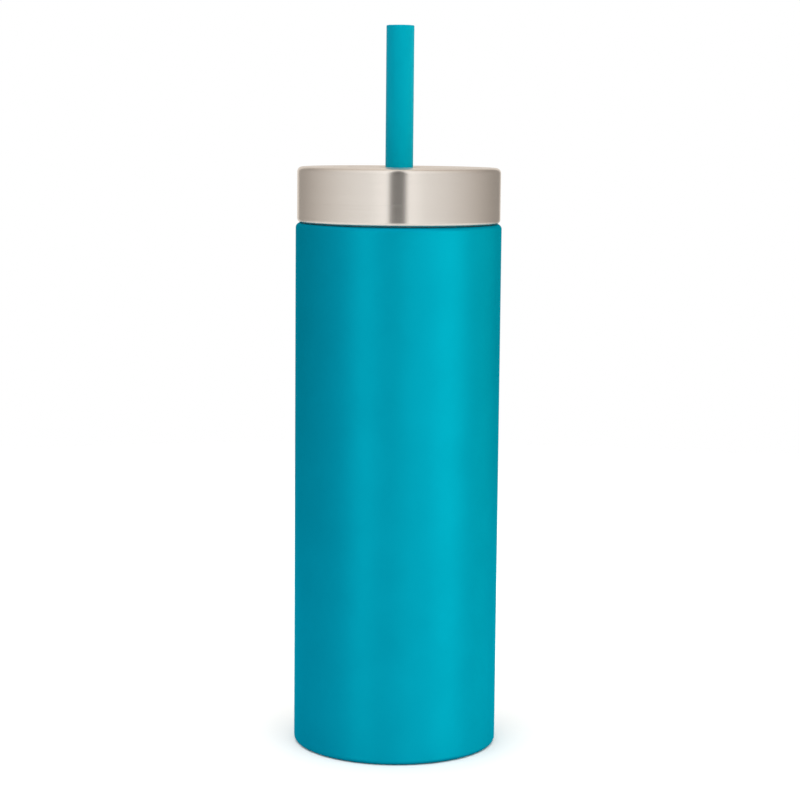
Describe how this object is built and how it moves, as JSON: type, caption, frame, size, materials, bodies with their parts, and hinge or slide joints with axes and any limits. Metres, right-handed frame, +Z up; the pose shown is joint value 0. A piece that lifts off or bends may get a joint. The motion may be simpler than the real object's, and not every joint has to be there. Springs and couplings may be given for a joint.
{
  "type": "insulated water bottle",
  "caption": "Tall slim double-walled steel tumbler with a teal powder-coated body, a brushed steel screw-in lid and a straight straw that slides through it.",
  "frame": {"origin": "centre of the base, on the surface that the bottle stands on", "axes": "+Z up along the bottle and the straw; the lid's vent hole is on -X at rest"},
  "size_m": [0.073, 0.073, 0.2565],
  "materials": {
    "powder_coat": "satin",
    "liner_steel": "satin",
    "base_steel": "satin",
    "polished_steel": "polished",
    "lid_steel": "satin",
    "copper": "satin",
    "sealing_glass": "gloss",
    "getter_alloy": "matte",
    "lid_plastic": "matte",
    "foam": "matte",
    "silicone": "matte",
    "grommet_silicone": "matte",
    "pad_silicone": "matte",
    "straw_plastic": "satin"
  },
  "bodies": {
    "bottle": {"outer_shell": "powder_coat", "liner": "liner_steel", "liner_base": "liner_steel", "base_cup": "base_steel", "vacuum_seal": "sealing_glass", "base_cover": "polished_steel", "base_pad": "pad_silicone", "getter_clip": "base_steel", "getter": "getter_alloy", "copper_foil": "copper"},
    "lid_seal": {"lid_gasket": "silicone"},
    "lid": {"lid_cover": "lid_steel", "lid_core": "lid_plastic", "lid_deck": "lid_plastic", "lid_foam": "foam", "straw_grommet": "grommet_silicone", "vent_valve": "silicone"},
    "straw": {"straw": "straw_plastic"}
  },
  "joints": [
    {"name": "lid_lift", "type": "slide", "parent": "bottle", "child": "lid_seal", "axis": [0, 0, 1], "range_m": [0, 0.032]},
    {"name": "lid_turn", "type": "hinge", "parent": "lid_seal", "child": "lid", "pos_m": [0, 0, 0.18735], "axis": [0, 0, 1], "range_deg": [0, 1440]},
    {"name": "straw_slide", "type": "slide", "parent": "lid", "child": "straw", "axis": [0, 0, 1], "range_m": [-0.0035, 0.18]}
  ],
  "couplings": [
    {"joint": "lid_lift", "follows": "lid_turn", "m_per_rad": 0.0012732}
  ]
}
